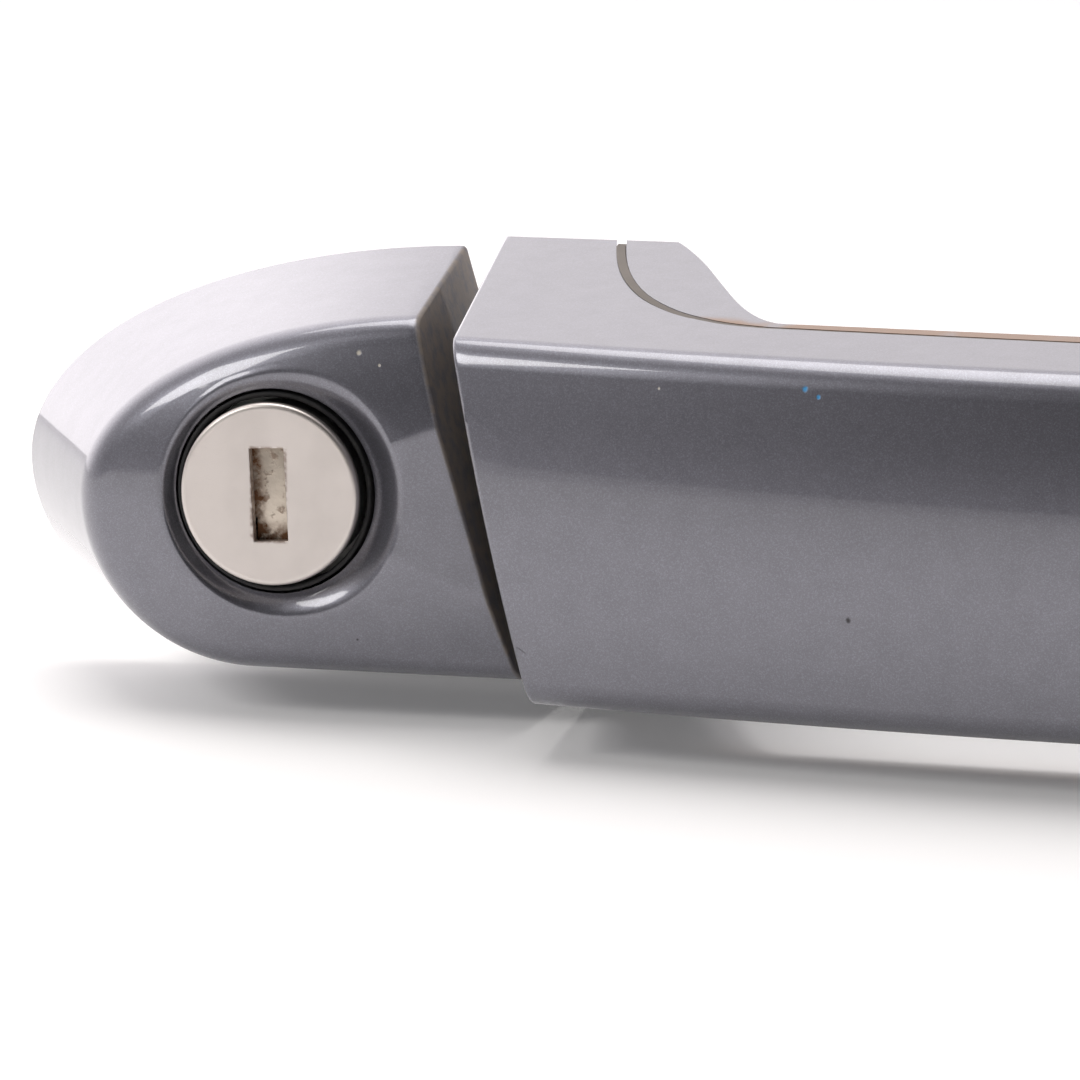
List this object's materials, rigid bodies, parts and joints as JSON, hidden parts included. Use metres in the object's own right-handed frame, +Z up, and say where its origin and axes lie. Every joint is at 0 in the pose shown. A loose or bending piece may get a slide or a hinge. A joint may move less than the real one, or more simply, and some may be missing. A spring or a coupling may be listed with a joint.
{
  "type": "car door handle",
  "caption": "Pull-type outside car door handle: painted bow grip, rounded lock cap with key cylinder, and the bracket, hinge and bell crank behind the door skin.",
  "frame": {"origin": "centre of the carrier's centre pad, on the plane that bears on the inside of the door skin, at the height of the lock's axis", "axes": "+X along the handle from the lock cap to the hinge, +Y into the door, +Z up; the outer face looks along -Y"},
  "size_m": [0.2545, 0.0932, 0.0458],
  "materials": {
    "graphite_paint": "graphite metallic base under clear coat",
    "glass_filled_plastic": "moulded, fine grain",
    "natural_plastic": "moulded, slightly waxy",
    "gasket_rubber": "soft, dull",
    "zinc_casting": "die cast, tumbled",
    "satin_face_plate": "satin, lightly worn",
    "steel": "zinc plated",
    "spring_steel": "drawn wire, oiled",
    "brass": "stamped"
  },
  "bodies": {
    "carrier": {"carrier_frame": "glass_filled_plastic", "hinge_pin": "steel", "hinge_pin_clip": "spring_steel", "hook_guide": "natural_plastic", "lock_screw": "steel", "crank_spindle": "steel", "spindle_clip": "spring_steel", "crank_spring": "spring_steel", "leg_gasket": "gasket_rubber", "hinge_gasket": "gasket_rubber", "cap_gasket": "gasket_rubber", "lock_cap": "graphite_paint", "cap_retainer": "natural_plastic", "lock_housing": "zinc_casting", "seal_ring": "gasket_rubber"},
    "handle": {"handle_outer_shell": "graphite_paint", "handle_inner_shell": "graphite_paint", "handle_core": "glass_filled_plastic", "leg_hook": "zinc_casting", "hinge_claw": "zinc_casting", "claw_bush": "natural_plastic", "hook_screw_1": "steel", "hook_screw_2": "steel", "claw_screw_1": "steel", "claw_screw_2": "steel"},
    "bell_crank": {"crank_lever": "zinc_casting", "crank_pin": "steel", "counterweight": "zinc_casting", "crank_bush_lower": "natural_plastic", "crank_bush_upper": "natural_plastic"},
    "plug": {"plug_face": "satin_face_plate", "lock_plug": "zinc_casting", "tumbler_1": "brass", "tumbler_2": "brass", "tumbler_3": "brass", "tumbler_4": "brass", "tumbler_5": "brass", "tumbler_6": "brass", "shutter_pin": "steel", "shutter_spring": "spring_steel", "plug_clip": "spring_steel", "centring_spring": "spring_steel", "tail_cam": "zinc_casting", "drive_shaft": "steel"},
    "key_shutter": {"shutter_flap": "satin_face_plate"}
  },
  "joints": [
    {"name": "handle_pull", "type": "hinge", "parent": "carrier", "child": "handle", "pos_m": [0.12, 0.0108, -0.001], "axis": [0, 0, 1], "range_deg": [0, 7.5], "stiffness_Nm_per_rad": 12, "springref_deg": -6.88},
    {"name": "crank_turn", "type": "hinge", "parent": "carrier", "child": "bell_crank", "pos_m": [-0.03297, 0.021, -0.004], "axis": [0, 0, 1], "range_deg": [0, 58.8]},
    {"name": "key_turn", "type": "hinge", "parent": "carrier", "child": "plug", "pos_m": [-0.093, 0, 0], "axis": [0, 1, 0], "range_deg": [-60, 60], "stiffness_Nm_per_rad": 0.06},
    {"name": "shutter_swing", "type": "hinge", "parent": "plug", "child": "key_shutter", "pos_m": [-0.0959, -0.02675, 0], "axis": [0, 0, 1], "range_deg": [0, 78], "stiffness_Nm_per_rad": 0.0004, "springref_deg": -28.65}
  ],
  "couplings": [
    {"joint": "crank_turn", "follows": "handle_pull", "ratio": 7.81}
  ]
}
